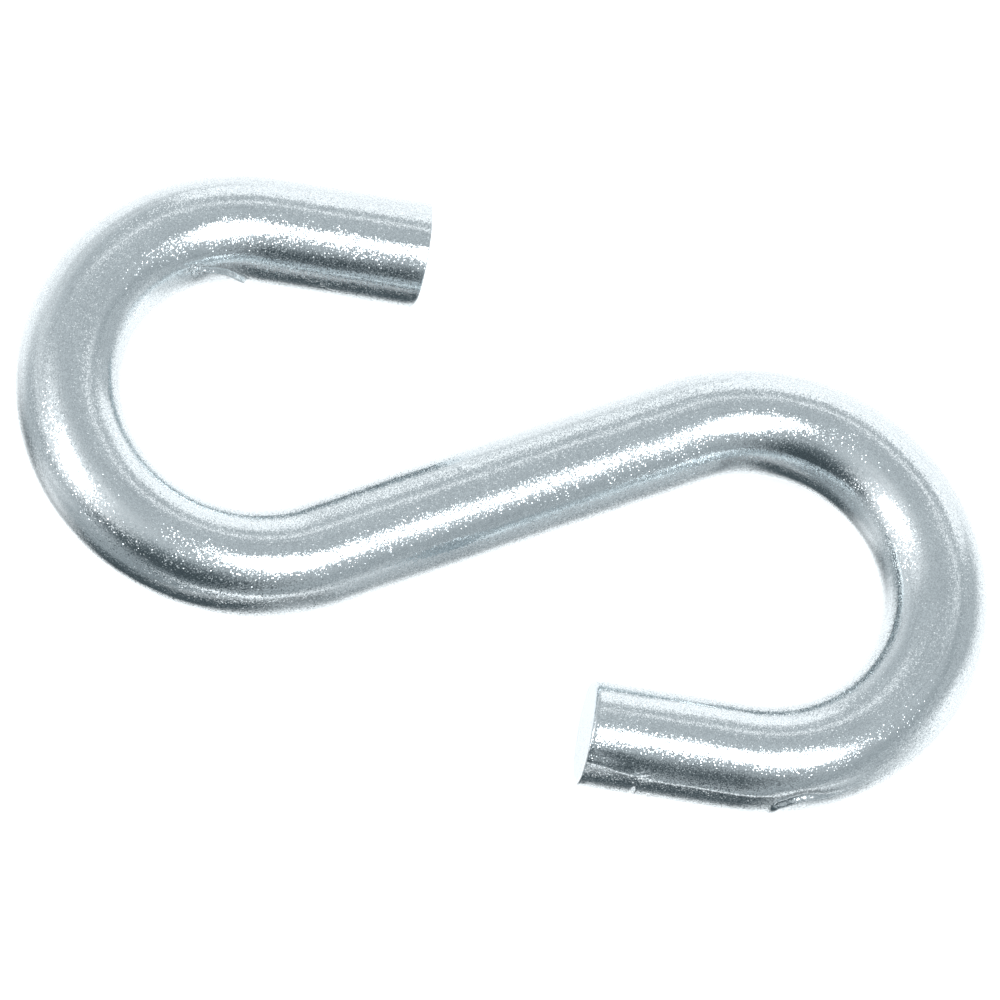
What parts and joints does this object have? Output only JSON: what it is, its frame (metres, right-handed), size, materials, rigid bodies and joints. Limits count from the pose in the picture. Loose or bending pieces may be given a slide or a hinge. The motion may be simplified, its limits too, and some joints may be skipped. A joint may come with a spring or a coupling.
{
  "type": "safety chain hook",
  "caption": "S-shaped hook bent from round zinc-plated steel bar, with open bends that join a trailer's safety chain to a hitch loop.",
  "frame": {"origin": "centre of the hook's bounding box, which is the middle of the straight shank on the bar's centre line", "axes": "the S lies flat in the XY plane; +X runs along the load line through the centres of both bends, +Y is across the S, and +Z is square to its plane, through the bar's thickness"},
  "size_m": [0.1052, 0.0546, 0.0112],
  "materials": {
    "zinc_plate": "bright zinc plate on cold-bent steel bar: fine grain, drawn lines along the bar, small nicks from bending"
  },
  "bodies": {
    "root": {"hook_bar": "zinc_plate"}
  },
  "joints": []
}
